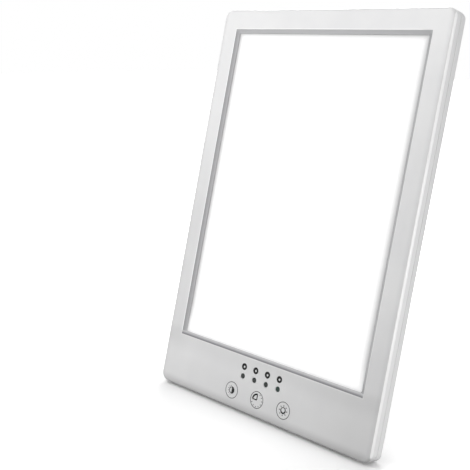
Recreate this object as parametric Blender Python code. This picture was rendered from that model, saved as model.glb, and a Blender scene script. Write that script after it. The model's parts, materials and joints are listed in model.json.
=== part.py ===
"""Light therapy lamp: a slim lit panel that leans back on a folding wire stand.

The panel's pieces are drawn in the panel's own frame: x to the right as seen from the front,
y from the front face to the back, z up along the panel from its bottom edge. An empty leans
that frame back. The stand's pieces are drawn folded, hanging down from the hinge pin, and an
empty on the pin's axis swings them out.
"""
import math

import bmesh
import bpy
from mathutils import Vector

MM = 0.001

# Panel as a whole
PANEL_WIDTH = 240.0 * MM
PANEL_HEIGHT = 345.0 * MM
PANEL_DEPTH = 15.0 * MM
CORNER_RADIUS = 7.5 * MM
LEAN_ANGLE = math.radians(13.5)

# Fits that every piece shares
GAP = 0.3 * MM
OVERRUN = 1.0 * MM

# Casing shells
CASE_WALL = 2.0 * MM
FACE_WALL = 2.6 * MM
FRONT_EDGE_RADIUS = 2.0 * MM
REAR_EDGE_RADIUS = 1.2 * MM
PARTING_DEPTH = 8.0 * MM
RABBET_WALL = 1.2 * MM
TONGUE_LENGTH = 1.7 * MM
TONGUE_THICKNESS = 0.7 * MM
CATCH_LENGTH = 10.0 * MM
CATCH_HEIGHT = 0.6 * MM
CATCH_BITE = 0.45 * MM
CATCH_SETBACK = 0.4 * MM
SIDE_CATCH_SHARES = (0.2, 0.5, 0.8)
END_CATCH_SHARES = (0.3, 0.7)

# Window and its sloping lip
WINDOW_SIDE_MARGIN = 17.0 * MM
WINDOW_TOP_MARGIN = 17.3 * MM
CHIN_HEIGHT = 46.7 * MM
WINDOW_CORNER_RADIUS = 1.8 * MM
WINDOW_EDGE_ROUND = 0.4 * MM
LIP_WIDTH = 3.2 * MM
LIP_DEPTH = 2.2 * MM

# Light stack behind the window
PLATE_OVERLAP = 2.5 * MM
DIFFUSER_THICKNESS = 1.6 * MM
GUIDE_THICKNESS = 3.0 * MM
REFLECTOR_THICKNESS = 0.4 * MM
SPREADER_THICKNESS = 1.0 * MM
STRIP_BOARD_THICKNESS = 1.0 * MM
LED_PROUD = 1.2 * MM
LED_COUNT = 32
LED_PITCH_SHARE = 0.55
SPREADER_MARGIN = 2.4 * MM
SPREADER_BOSS_SHARES = (0.1, 0.5, 0.9)
POST_RADIUS = 3.0 * MM
POST_SIDE_SHARE = 0.5
POST_HEIGHT_SHARES = (0.3, 0.55, 0.8)

# Screws and the bosses they bite in
BOSS_RADIUS = 2.4 * MM
SCREW_RADIUS = 0.9 * MM
SCREW_HEAD_RADIUS = 2.0 * MM
SCREW_HEAD_HEIGHT = 1.2 * MM
SCREW_BITE = 2.2 * MM

# Controls on the chin
KEY_HEIGHT = 14.6 * MM
KEY_PITCH = 29.8 * MM
INDICATOR_HEIGHT = 29.7 * MM
INDICATOR_PITCH = 13.4 * MM
INDICATOR_COUNT = 4
LENS_RADIUS = 2.1 * MM
LENS_RECESS = 0.1 * MM
LENS_FLANGE = 0.7 * MM
CHIP_WIDTH = 3.0 * MM
CHIP_LENGTH = 1.6 * MM
CHIP_HEIGHT = 1.0 * MM
PAD_RADIUS = 5.0 * MM
PAD_THICKNESS = 0.4 * MM
PAD_STEM_RADIUS = 2.0 * MM
CONTROL_STANDOFF = 2.6 * MM
BOARD_THICKNESS = 1.6 * MM
CONTROL_BOARD_WIDTH = 92.0 * MM
BOARD_HEIGHT = 28.0 * MM
BOARD_SCREW_INSET = 5.0 * MM

# Driver electronics beside the controls
BOARD_SPACING = 8.0 * MM
DRIVER_BOARD_MARGIN = 18.0 * MM
COIL_RADIUS = 5.0 * MM
COIL_HEIGHT = 5.0 * MM
CAPACITOR_RADIUS = 2.4 * MM
CAPACITOR_LENGTH = 9.0 * MM
CAPACITOR_INSET = 3.0 * MM
SOCKET_WIDTH = 8.0 * MM
SOCKET_LENGTH = 6.0 * MM
SOCKET_HEIGHT = 4.4 * MM
RIBBON_WIDTH = 6.0 * MM
RIBBON_THICKNESS = 0.4 * MM
RIBBON_LAP = 6.0 * MM
JACK_LEAD_RADIUS = 0.8 * MM
PANEL_LEAD_RADIUS = 0.7 * MM
LEAD_FLOOR = 5.0 * MM

# Ways of the leads, as shares of the way from one end to the other
HOLE_APPROACH_SHARE = 0.4
JACK_LEAD_SHARES = ((0.06, 0.55, 0.2), (0.4, 0.55, 0.7), (0.8, 0.85, 1.0))
RIGHT_LEAD_START_SHARE = 0.7
RIGHT_LEAD_SHARES = ((0.25, 0.0, 0.42), (0.8, 0.6, 0.71))
LEFT_LEAD_START_SHARE = 0.35
LEFT_FLOOR_SHARES = (0.0, 0.31, 0.65, 0.95)
LEFT_RISE_SHARES = ((0.4, 0.3), (1.0, 0.7))

# Socket hood on the back
HOOD_WIDTH = 20.0 * MM
HOOD_DEPTH = 11.2 * MM
HOOD_BOTTOM = 32.0 * MM
HOOD_TOP = 64.5 * MM
HOOD_BOTTOM_RISE = 2.4 * MM
HOOD_SHOULDER_RADIUS = 9.0 * MM
HOOD_CORNER_RADIUS = 1.8 * MM
HOOD_EDGE_RADIUS = 2.0 * MM
HOOD_WALL = 1.8 * MM
HOOD_POCKET_WIDTH = 13.0 * MM
HOOD_POCKET_HEIGHT = 17.5 * MM
HOOD_SCREW_PITCH = 10.0 * MM
HOOD_SCREW_DROP = 5.5 * MM
JACK_WIDTH = 9.0 * MM
JACK_LENGTH = 12.0 * MM
JACK_NOSE_RADIUS = 3.8 * MM
JACK_BORE_RADIUS = 3.1 * MM
JACK_BORE_DEPTH = 10.0 * MM
JACK_PIN_RADIUS = 1.0 * MM
JACK_PIN_SETBACK = 1.2 * MM
WIRE_HOLE_RADIUS = 2.0 * MM

# Hinge of the stand
PIVOT_HEIGHT = 184.8 * MM
PIVOT_STANDOFF = 4.9 * MM
PIN_RADIUS = 1.1 * MM
PIN_HEAD_RADIUS = 1.8 * MM
PIN_HEAD_HEIGHT = 0.8 * MM
LUG_THICKNESS = 4.2 * MM
HINGE_BLOCK_DROP = 6.8 * MM
HINGE_BLOCK_DEPTH = 7.2 * MM
HINGE_LIP_DEPTH = 9.2 * MM
HINGE_LIP_THICKNESS = 1.6 * MM
HINGE_LIP_STEP = 0.9 * MM
HINGE_LIP_GROOVE = 0.6 * MM
HINGE_LIP_OVERHANG = 0.5 * MM
HINGE_RAMP_HEIGHT = 7.5 * MM
HINGE_RAMP_TOE = 1.0 * MM
HINGE_EDGE_ROUND = 0.35 * MM
HINGE_PLATE_THICKNESS = 1.0 * MM
HINGE_PLATE_MARGIN = 3.0 * MM
HINGE_SCREW_PITCH = 12.0 * MM
HINGE_SCREW_DROP = 4.3 * MM
HINGE_SCREW_RISE = 6.2 * MM

# Wire stand
OPEN_ANGLE = math.radians(27.8)
WIRE_RADIUS = 2.3 * MM
LEG_SPACING = 26.4 * MM
FOOT_BEND_RADIUS = 5.5 * MM
SLEEVE_RADIUS = 3.2 * MM
RUNG_RADIUS = 2.1 * MM
RUNG_SHARE = 0.648

# Fineness of round forms
CORNER_STEPS = 6
EDGE_STEPS = 4
ROUND_STEPS = 24
WIRE_STEPS = 16
BOSS_STEPS = 20
LENS_STEPS = 16
LEAD_STEPS = 4
SMALL_STEPS = 12
SHARP_ANGLE = math.radians(40)

# Places that follow from the sizes
HALF_WIDTH = PANEL_WIDTH / 2
FRONT_SHELL_BACK = PARTING_DEPTH - GAP / 2
REAR_SHELL_FRONT = PARTING_DEPTH + GAP / 2
REAR_WALL_INSIDE = PANEL_DEPTH - CASE_WALL
TONGUE_INSET = RABBET_WALL + GAP
REAR_INSET = TONGUE_INSET + TONGUE_THICKNESS
TONGUE_TIP = REAR_SHELL_FRONT - TONGUE_LENGTH

WINDOW_LEFT = -HALF_WIDTH + WINDOW_SIDE_MARGIN
WINDOW_RIGHT = HALF_WIDTH - WINDOW_SIDE_MARGIN
WINDOW_BOTTOM = CHIN_HEIGHT
WINDOW_TOP = PANEL_HEIGHT - WINDOW_TOP_MARGIN
PLATE_LEFT = WINDOW_LEFT - PLATE_OVERLAP
PLATE_RIGHT = WINDOW_RIGHT + PLATE_OVERLAP
PLATE_BOTTOM = WINDOW_BOTTOM - PLATE_OVERLAP
PLATE_TOP = WINDOW_TOP + PLATE_OVERLAP

DIFFUSER_FRONT = FACE_WALL + GAP
DIFFUSER_BACK = DIFFUSER_FRONT + DIFFUSER_THICKNESS
GUIDE_FRONT = DIFFUSER_BACK + GAP
GUIDE_BACK = GUIDE_FRONT + GUIDE_THICKNESS
REFLECTOR_FRONT = GUIDE_BACK + GAP
REFLECTOR_BACK = REFLECTOR_FRONT + REFLECTOR_THICKNESS
SPREADER_FRONT = REFLECTOR_BACK + GAP
SPREADER_BACK = SPREADER_FRONT + SPREADER_THICKNESS
STRIP_FACE = PLATE_RIGHT + GAP
STRIP_BOARD_INNER = STRIP_FACE + LED_PROUD
STRIP_BOARD_OUTER = STRIP_BOARD_INNER + STRIP_BOARD_THICKNESS
FLANGE_INNER = STRIP_BOARD_OUTER + GAP
FLANGE_OUTER = FLANGE_INNER + SPREADER_THICKNESS
SPREADER_BOSS_X = FLANGE_OUTER + GAP + BOSS_RADIUS
SPREADER_EDGE = SPREADER_BOSS_X + SPREADER_MARGIN

BOARD_FRONT = FACE_WALL + CONTROL_STANDOFF
BOARD_BACK = BOARD_FRONT + BOARD_THICKNESS
BOARD_PARTS_FRONT = BOARD_BACK + GAP
BOARD_MIDDLE = (KEY_HEIGHT + INDICATOR_HEIGHT) / 2
BOARD_BOTTOM = BOARD_MIDDLE - BOARD_HEIGHT / 2
BOARD_TOP = BOARD_MIDDLE + BOARD_HEIGHT / 2
CONTROL_EDGE = CONTROL_BOARD_WIDTH / 2
DRIVER_LEFT = CONTROL_EDGE + BOARD_SPACING
DRIVER_RIGHT = HALF_WIDTH - CASE_WALL - DRIVER_BOARD_MARGIN

BACK_SEAT = PANEL_DEPTH + GAP
HOOD_BACK = PANEL_DEPTH + HOOD_DEPTH
POCKET_BACK = HOOD_BACK - HOOD_WALL
POCKET_BOTTOM = HOOD_BOTTOM + HOOD_BOTTOM_RISE + HOOD_WALL
POCKET_TOP = POCKET_BOTTOM + HOOD_POCKET_HEIGHT
JACK_FRONT = BACK_SEAT + GAP
JACK_BACK = POCKET_BACK - GAP
JACK_MIDDLE = (JACK_FRONT + JACK_BACK) / 2
JACK_BOTTOM = POCKET_BOTTOM + GAP
JACK_TOP = JACK_BOTTOM + JACK_LENGTH
JACK_MOUTH = HOOD_BOTTOM + HOOD_BOTTOM_RISE * (JACK_MIDDLE - BACK_SEAT) / (HOOD_BACK - BACK_SEAT)
WIRE_HOLE_HEIGHT = POCKET_TOP - WIRE_HOLE_RADIUS - GAP
HOOD_SCREW_HEIGHT = HOOD_TOP - HOOD_SCREW_DROP

PIVOT_DEPTH = PANEL_DEPTH + PIVOT_STANDOFF
LEG_X = LEG_SPACING / 2
BLOCK_HALF = LEG_X - WIRE_RADIUS - GAP
LIP_UNDERSIDE = PIVOT_HEIGHT + WIRE_RADIUS + GAP
LIP_TOPSIDE = LIP_UNDERSIDE + HINGE_LIP_THICKNESS
LIP_HALF = LEG_X + WIRE_RADIUS + HINGE_LIP_OVERHANG
RAMP_TOP = LIP_TOPSIDE + HINGE_LIP_GROOVE + HINGE_RAMP_HEIGHT
PLATE_INSIDE_BACK = REAR_WALL_INSIDE - GAP
PLATE_INSIDE_FRONT = PLATE_INSIDE_BACK - HINGE_PLATE_THICKNESS

# The rounded rear bottom edge touches the table, and so does the sleeve on the stand's foot
EDGE_CENTRE_DROP = (PANEL_DEPTH - REAR_EDGE_RADIUS) * math.sin(LEAN_ANGLE)
PANEL_RISE = EDGE_CENTRE_DROP + REAR_EDGE_RADIUS * (1 - math.cos(LEAN_ANGLE))
PIVOT_ABOVE_TABLE = (PANEL_RISE + PIVOT_HEIGHT * math.cos(LEAN_ANGLE)
                     - PIVOT_DEPTH * math.sin(LEAN_ANGLE))
FOOT_REACH = (PIVOT_ABOVE_TABLE - SLEEVE_RADIUS) / math.cos(OPEN_ANGLE - LEAN_ANGLE)
RUNG_REACH = FOOT_REACH * RUNG_SHARE

# The origin lies on the table, midway between the panel's front and the back of the foot
FRONT_REACH = FRONT_EDGE_RADIUS * (math.cos(LEAN_ANGLE) + math.sin(LEAN_ANGLE) - 1)
PIVOT_BACK = PIVOT_HEIGHT * math.sin(LEAN_ANGLE) + PIVOT_DEPTH * math.cos(LEAN_ANGLE)
FOOT_BACK = PIVOT_BACK + FOOT_REACH * math.sin(OPEN_ANGLE - LEAN_ANGLE) + SLEEVE_RADIUS
PANEL_SETBACK = -(FRONT_REACH + FOOT_BACK) / 2

# Colours, each with its roughness and how metallic it is
WHITE_ABS = ((0.80, 0.80, 0.80), 0.38, 0.0)
GREY_ABS = ((0.62, 0.62, 0.63), 0.45, 0.0)
PALE_ABS = ((0.78, 0.78, 0.79), 0.40, 0.0)
OPAL_ACRYLIC = ((0.95, 0.95, 0.95), 0.50, 0.0)
CLEAR_ACRYLIC = ((0.90, 0.93, 0.95), 0.10, 0.0)
WHITE_FILM = ((0.92, 0.92, 0.92), 0.60, 0.0)
ALUMINIUM = ((0.75, 0.76, 0.78), 0.35, 1.0)
STEEL = ((0.60, 0.60, 0.60), 0.30, 1.0)
NICKEL = ((0.66, 0.65, 0.58), 0.15, 1.0)
DARK_STEEL = ((0.08, 0.08, 0.08), 0.35, 1.0)
GREEN_BOARD = ((0.03, 0.22, 0.09), 0.50, 0.0)
WHITE_BOARD = ((0.88, 0.88, 0.84), 0.50, 0.0)
SMOKED_LENS = ((0.03, 0.06, 0.05), 0.20, 0.0)
BLACK_PLASTIC = ((0.02, 0.02, 0.02), 0.45, 0.0)
BLACK_RUBBER = ((0.02, 0.02, 0.02), 0.80, 0.0)
COPPER_ENAMEL = ((0.60, 0.25, 0.08), 0.40, 0.6)
LED_PACKAGE = ((0.90, 0.85, 0.55), 0.40, 0.0)
RED_WIRE = ((0.50, 0.03, 0.03), 0.50, 0.0)


def clear_scene():
    for item in list(bpy.data.objects):
        bpy.data.objects.remove(item, do_unlink=True)


def place(axis, across, along, depth):
    """Turn a flat point and a depth into x, y, z, where the depth runs along the named axis."""
    if axis == "x":
        return depth, across, along
    if axis == "y":
        return across, depth, along
    return across, along, depth


def circle(across, along, radius, steps):
    turns = [2 * math.pi * k / steps for k in range(steps)]
    return [(across + radius * math.cos(turn), along + radius * math.sin(turn)) for turn in turns]


def arc(across, along, radius, start, end, steps):
    """Points on an arc from one angle to another, in degrees, ends included."""
    angles = [math.radians(start + (end - start) * k / steps) for k in range(steps + 1)]
    return [(across + radius * math.cos(a), along + radius * math.sin(a)) for a in angles]


def rectangle(left, right, bottom, top):
    return [(left, bottom), (right, bottom), (right, top), (left, top)]


def rounded_rectangle(left, right, bottom, top, radius):
    points = arc(right - radius, bottom + radius, radius, -90, 0, CORNER_STEPS)
    points += arc(right - radius, top - radius, radius, 0, 90, CORNER_STEPS)
    points += arc(left + radius, top - radius, radius, 90, 180, CORNER_STEPS)
    points += arc(left + radius, bottom + radius, radius, 180, 270, CORNER_STEPS)
    return points


def case_ring(inset, depth):
    """The casing's outline, drawn in by an inset, at a depth behind the front face."""
    outline = rounded_rectangle(-HALF_WIDTH + inset, HALF_WIDTH - inset,
                                inset, PANEL_HEIGHT - inset, CORNER_RADIUS - inset)
    return [place("y", x, z, depth) for x, z in outline]


def window_ring(inset, depth):
    """The window's outline, drawn in by an inset, at a depth behind the front face."""
    outline = rounded_rectangle(WINDOW_LEFT + inset, WINDOW_RIGHT - inset,
                                WINDOW_BOTTOM + inset, WINDOW_TOP - inset, WINDOW_CORNER_RADIUS)
    return [place("y", x, z, depth) for x, z in outline]


class Solid:
    """One or more closed skins, drawn in the frame of the object that they become."""

    def __init__(self):
        self.mesh = bmesh.new()

    def loft(self, rings, closed=False):
        """Skin a run of rings, then cap its two ends or close the run on itself."""
        rows = [[self.mesh.verts.new(point) for point in ring] for ring in rings]
        pairs = list(zip(rows, rows[1:]))
        if closed:
            pairs.append((rows[-1], rows[0]))
        for low, high in pairs:
            for k in range(len(low)):
                j = (k + 1) % len(low)
                self.mesh.faces.new((low[k], low[j], high[j], high[k]))
        if not closed:
            self.mesh.faces.new(rows[0])
            self.mesh.faces.new(rows[-1])
        return self

    def prism(self, outline, axis, start, end):
        """Extrude a flat outline along an axis."""
        return self.loft([[place(axis, u, v, depth) for u, v in outline] for depth in (start, end)])

    def block(self, low, high):
        outline = rectangle(low[0], high[0], low[2], high[2])
        return self.prism(outline, "y", low[1], high[1])

    def rod(self, axis, across, along, radius, start, end, steps=ROUND_STEPS):
        return self.prism(circle(across, along, radius, steps), axis, start, end)

    def turned(self, profile, axis, across, along, steps=ROUND_STEPS):
        """Turn a profile of (distance along the axis, radius) about the axis."""
        rings = []
        for depth, radius in profile:
            rings.append([place(axis, u, v, depth) for u, v in circle(across, along, radius, steps)])
        return self.loft(rings)


def finish(name, finish_values):
    """A material of the piece's own, in its colour, roughness and metallic value."""
    colour, roughness, metallic = finish_values
    material = bpy.data.materials.new(name + "_finish")
    material.use_nodes = True
    shader = material.node_tree.nodes["Principled BSDF"]
    shader.inputs["Base Color"].default_value = (*colour, 1.0)
    shader.inputs["Roughness"].default_value = roughness
    shader.inputs["Metallic"].default_value = metallic
    material.diffuse_color = (*colour, 1.0)
    return material


def add_object(name, data, parent):
    item = bpy.data.objects.new(name, data)
    bpy.context.scene.collection.objects.link(item)
    item.parent = parent
    return item


def mesh_object(name, solid, parent):
    bmesh.ops.recalc_face_normals(solid.mesh, faces=solid.mesh.faces)
    mesh = bpy.data.meshes.new(name)
    solid.mesh.to_mesh(mesh)
    solid.mesh.free()
    mesh.shade_smooth()
    mesh.set_sharp_from_angle(angle=SHARP_ANGLE)
    return add_object(name, mesh, parent)


def piece(name, solid, finish_values, parent):
    item = mesh_object(name, solid, parent)
    item.data.materials.append(finish(name, finish_values))
    return item


def shape_with(item, solid, operation):
    """Join a solid to a piece, or cut it out of the piece, and keep the tool as a hidden guide."""
    label = item.name + ("_added" if operation == "UNION" else "_cut")
    tool = mesh_object(label, solid, item.parent)
    tool.hide_render = True
    tool.display_type = "WIRE"
    modifier = item.modifiers.new(label, "BOOLEAN")
    modifier.operation = operation
    modifier.solver = "EXACT"
    modifier.object = tool


def round_edges(item, width, steps):
    modifier = item.modifiers.new("rounded_edges", "BEVEL")
    modifier.width = width
    modifier.segments = steps
    modifier.limit_method = "ANGLE"
    modifier.angle_limit = SHARP_ANGLE


def screw(name, x, z, seat, tip, parent):
    """A pan-head screw along y: its head stands off the seat on the side away from the tip."""
    outward = 1 if seat > tip else -1
    top = seat + outward * SCREW_HEAD_HEIGHT
    crown = seat + outward * SCREW_HEAD_HEIGHT / 2
    profile = [(top, SCREW_HEAD_RADIUS / 2), (crown, SCREW_HEAD_RADIUS), (seat, SCREW_HEAD_RADIUS),
               (seat, SCREW_RADIUS), (tip, SCREW_RADIUS)]
    return piece(name, Solid().turned(profile, "y", x, z, SMALL_STEPS), STEEL, parent)


def lead(name, points, radius, finish_values, parent):
    """A round insulated lead on a smooth run through a few chosen points."""
    stops = [Vector(point) for point in points]
    stops = [stops[0] * 2 - stops[1]] + stops + [stops[-1] * 2 - stops[-2]]
    path = []
    for a, b, c, d in zip(stops, stops[1:], stops[2:], stops[3:]):
        for k in range(LEAD_STEPS):
            t = k / LEAD_STEPS
            cubic = 3 * b - a - 3 * c + d
            square = 2 * a - 5 * b + 4 * c - d
            path.append((2 * b + (c - a) * t + square * t ** 2 + cubic * t ** 3) / 2)
    path.append(stops[-2])
    curve = bpy.data.curves.new(name, "CURVE")
    curve.dimensions = "3D"
    curve.bevel_depth = radius
    curve.bevel_resolution = 1
    curve.use_fill_caps = True
    spline = curve.splines.new("POLY")
    spline.points.add(len(path) - 1)
    for point, place_on_path in zip(spline.points, path):
        point.co = (*place_on_path, 1.0)
    item = add_object(name, curve, parent)
    curve.materials.append(finish(name, finish_values))
    return item


def share_of(low, high, share):
    return low + (high - low) * share


def spreader_boss_places():
    heights = [share_of(PLATE_BOTTOM, PLATE_TOP, share) for share in SPREADER_BOSS_SHARES]
    return [(side * SPREADER_BOSS_X, z) for side in (-1, 1) for z in heights]


def board_boss_places():
    control = CONTROL_EDGE - BOARD_SCREW_INSET
    return [(-control, BOARD_MIDDLE), (control, BOARD_MIDDLE),
            (DRIVER_LEFT + BOARD_SCREW_INSET, BOARD_MIDDLE),
            (DRIVER_RIGHT - BOARD_SCREW_INSET, BOARD_MIDDLE)]


def indicator_places():
    first = -INDICATOR_PITCH * (INDICATOR_COUNT - 1) / 2
    return [(first + INDICATOR_PITCH * k, INDICATOR_HEIGHT) for k in range(INDICATOR_COUNT)]


def catch_blocks(inset, spare):
    """Low catches on the rear shell's tongue, or with some spare, the pockets they click into."""
    solid = Solid()
    start = TONGUE_TIP + CATCH_SETBACK - spare
    end = start + CATCH_HEIGHT + 2 * spare
    reach = CATCH_LENGTH / 2 + spare
    outer = inset - CATCH_BITE - spare
    inner = inset + TONGUE_THICKNESS / 2
    for share in SIDE_CATCH_SHARES:
        z = PANEL_HEIGHT * share
        for side in (-1, 1):
            edges = sorted((side * (HALF_WIDTH - outer), side * (HALF_WIDTH - inner)))
            solid.block((edges[0], start, z - reach), (edges[1], end, z + reach))
    for share in END_CATCH_SHARES:
        x = share_of(-HALF_WIDTH, HALF_WIDTH, share)
        solid.block((x - reach, start, outer), (x + reach, end, inner))
        solid.block((x - reach, start, PANEL_HEIGHT - inner), (x + reach, end, PANEL_HEIGHT - outer))
    return solid


def make_front_bezel(frame):
    rings = [case_ring(0, FRONT_SHELL_BACK)]
    for inset, depth in arc(FRONT_EDGE_RADIUS, FRONT_EDGE_RADIUS, FRONT_EDGE_RADIUS, 180, 270, EDGE_STEPS):
        rings.append(case_ring(inset, depth))
    rings.append(window_ring(-WINDOW_EDGE_ROUND, 0))
    rings.append(window_ring(0, WINDOW_EDGE_ROUND / 2))
    rings.append(window_ring(LIP_WIDTH, LIP_DEPTH))
    rings.append(window_ring(LIP_WIDTH, FACE_WALL))
    rings.append(case_ring(CASE_WALL, FACE_WALL))
    rings.append(case_ring(CASE_WALL, TONGUE_TIP - GAP))
    rings.append(case_ring(RABBET_WALL, TONGUE_TIP - GAP))
    rings.append(case_ring(RABBET_WALL, FRONT_SHELL_BACK))
    bezel = piece("front_bezel", Solid().loft(rings, closed=True), WHITE_ABS, frame)

    bosses = Solid()
    for x, z in spreader_boss_places():
        bosses.rod("y", x, z, BOSS_RADIUS, FACE_WALL / 2, SPREADER_FRONT - GAP, BOSS_STEPS)
    for x, z in board_boss_places():
        bosses.rod("y", x, z, BOSS_RADIUS, FACE_WALL / 2, BOARD_FRONT - GAP, BOSS_STEPS)
    shape_with(bezel, bosses, "UNION")

    holes = catch_blocks(TONGUE_INSET, GAP)
    for x, z in spreader_boss_places() + board_boss_places():
        holes.rod("y", x, z, SCREW_RADIUS + GAP, FACE_WALL, SPREADER_FRONT, SMALL_STEPS)
    for x, z in indicator_places():
        holes.rod("y", x, z, LENS_RADIUS + GAP, -OVERRUN, FACE_WALL + OVERRUN, LENS_STEPS)
    shape_with(bezel, holes, "DIFFERENCE")


def make_rear_housing(frame):
    rings = [case_ring(REAR_EDGE_RADIUS, PANEL_DEPTH)]
    edge = arc(REAR_EDGE_RADIUS, PANEL_DEPTH - REAR_EDGE_RADIUS, REAR_EDGE_RADIUS, 90, 180, EDGE_STEPS)
    for inset, depth in edge[1:]:
        rings.append(case_ring(inset, depth))
    rings.append(case_ring(0, REAR_SHELL_FRONT))
    rings.append(case_ring(TONGUE_INSET, REAR_SHELL_FRONT))
    rings.append(case_ring(TONGUE_INSET, TONGUE_TIP))
    rings.append(case_ring(REAR_INSET, TONGUE_TIP))
    rings.append(case_ring(REAR_INSET, REAR_WALL_INSIDE))
    housing = piece("rear_housing", Solid().loft(rings), GREY_ABS, frame)

    added = catch_blocks(TONGUE_INSET, 0)
    for side in (-1, 1):
        for share in POST_HEIGHT_SHARES:
            z = PANEL_HEIGHT * share
            x = side * HALF_WIDTH * POST_SIDE_SHARE
            added.rod("y", x, z, POST_RADIUS, SPREADER_BACK + GAP, PANEL_DEPTH - CASE_WALL / 2)
    shape_with(housing, added, "UNION")

    holes = Solid()
    wall = (REAR_WALL_INSIDE - OVERRUN, PANEL_DEPTH + OVERRUN)
    for x, z in hinge_screw_places() + hood_screw_places():
        holes.rod("y", x, z, SCREW_RADIUS + GAP, *wall, SMALL_STEPS)
    holes.rod("y", 0, WIRE_HOLE_HEIGHT, WIRE_HOLE_RADIUS, *wall, SMALL_STEPS)
    shape_with(housing, holes, "DIFFERENCE")


def make_light_stack(frame):
    plates = (("diffuser_panel", DIFFUSER_FRONT, DIFFUSER_BACK, OPAL_ACRYLIC),
              ("light_guide_plate", GUIDE_FRONT, GUIDE_BACK, CLEAR_ACRYLIC),
              ("reflector_sheet", REFLECTOR_FRONT, REFLECTOR_BACK, WHITE_FILM))
    outline = rounded_rectangle(PLATE_LEFT, PLATE_RIGHT, PLATE_BOTTOM, PLATE_TOP, WINDOW_CORNER_RADIUS)
    for name, front, back, finish_values in plates:
        piece(name, Solid().prism(outline, "y", front, back), finish_values, frame)

    section = [(-SPREADER_EDGE, SPREADER_BACK), (-SPREADER_EDGE, SPREADER_FRONT),
               (-FLANGE_OUTER, SPREADER_FRONT), (-FLANGE_OUTER, GUIDE_FRONT),
               (-FLANGE_INNER, GUIDE_FRONT), (-FLANGE_INNER, SPREADER_FRONT)]
    section += [(-x, y) for x, y in reversed(section)]
    spreader = piece("heat_spreader", Solid().prism(section, "z", PLATE_BOTTOM, PLATE_TOP), ALUMINIUM, frame)
    holes = Solid()
    for x, z in spreader_boss_places():
        holes.rod("y", x, z, SCREW_RADIUS + GAP, SPREADER_FRONT - OVERRUN, SPREADER_BACK + OVERRUN,
                  SMALL_STEPS)
    shape_with(spreader, holes, "DIFFERENCE")

    for number, (x, z) in enumerate(spreader_boss_places(), 1):
        seat = SPREADER_BACK + GAP
        screw(f"spreader_screw_{number}", x, z, seat, SPREADER_FRONT - SCREW_BITE, frame)


def make_led_strips(frame):
    """A board along each edge of the light guide, with a row of LEDs that face its edge."""
    pitch = (PLATE_TOP - PLATE_BOTTOM) / LED_COUNT
    half_led = pitch * LED_PITCH_SHARE / 2
    for name, side in (("led_strip_left", -1), ("led_strip_right", 1)):
        outline = [(side * STRIP_BOARD_OUTER, PLATE_TOP), (side * STRIP_BOARD_OUTER, PLATE_BOTTOM)]
        outline.append((side * STRIP_BOARD_INNER, PLATE_BOTTOM))
        for k in range(LED_COUNT):
            middle = PLATE_BOTTOM + pitch * (k + 0.5)
            outline.append((side * STRIP_BOARD_INNER, middle - half_led))
            outline.append((side * STRIP_FACE, middle - half_led))
            outline.append((side * STRIP_FACE, middle + half_led))
            outline.append((side * STRIP_BOARD_INNER, middle + half_led))
        outline.append((side * STRIP_BOARD_INNER, PLATE_TOP))
        piece(name, Solid().prism(outline, "y", GUIDE_FRONT, GUIDE_BACK), WHITE_BOARD, frame)


def make_controls(frame):
    board = piece("control_board", Solid().block((-CONTROL_EDGE, BOARD_FRONT, BOARD_BOTTOM),
                                                 (CONTROL_EDGE, BOARD_BACK, BOARD_TOP)), GREEN_BOARD, frame)
    drill_board(board)
    for number, (x, z) in enumerate(board_boss_places(), 1):
        screw(f"board_screw_{number}", x, z, BOARD_PARTS_FRONT, FACE_WALL + GAP, frame)

    back_of_face = FACE_WALL + GAP
    front_of_board = BOARD_FRONT - GAP
    for number, (x, z) in enumerate(indicator_places(), 1):
        profile = [(LENS_RECESS, LENS_RADIUS), (back_of_face, LENS_RADIUS),
                   (back_of_face, LENS_RADIUS + LENS_FLANGE),
                   (back_of_face + LENS_FLANGE, LENS_RADIUS + LENS_FLANGE)]
        piece(f"indicator_lens_{number}", Solid().turned(profile, "y", x, z, LENS_STEPS), SMOKED_LENS, frame)
        chip = Solid().block((x - CHIP_WIDTH / 2, front_of_board - CHIP_HEIGHT, z - CHIP_LENGTH / 2),
                             (x + CHIP_WIDTH / 2, front_of_board, z + CHIP_LENGTH / 2))
        piece(f"indicator_led_{number}", chip, LED_PACKAGE, frame)

    for name, x in (("left", -KEY_PITCH), ("middle", 0), ("right", KEY_PITCH)):
        profile = [(back_of_face, PAD_RADIUS), (back_of_face + PAD_THICKNESS, PAD_RADIUS),
                   (back_of_face + PAD_THICKNESS, PAD_STEM_RADIUS), (front_of_board, PAD_STEM_RADIUS)]
        pad = Solid().turned(profile, "y", x, KEY_HEIGHT, LENS_STEPS)
        piece(f"touch_pad_{name}", pad, COPPER_ENAMEL, frame)


def drill_board(board):
    holes = Solid()
    for x, z in board_boss_places():
        holes.rod("y", x, z, SCREW_RADIUS + GAP, BOARD_FRONT - OVERRUN, BOARD_BACK + OVERRUN, SMALL_STEPS)
    shape_with(board, holes, "DIFFERENCE")


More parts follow.
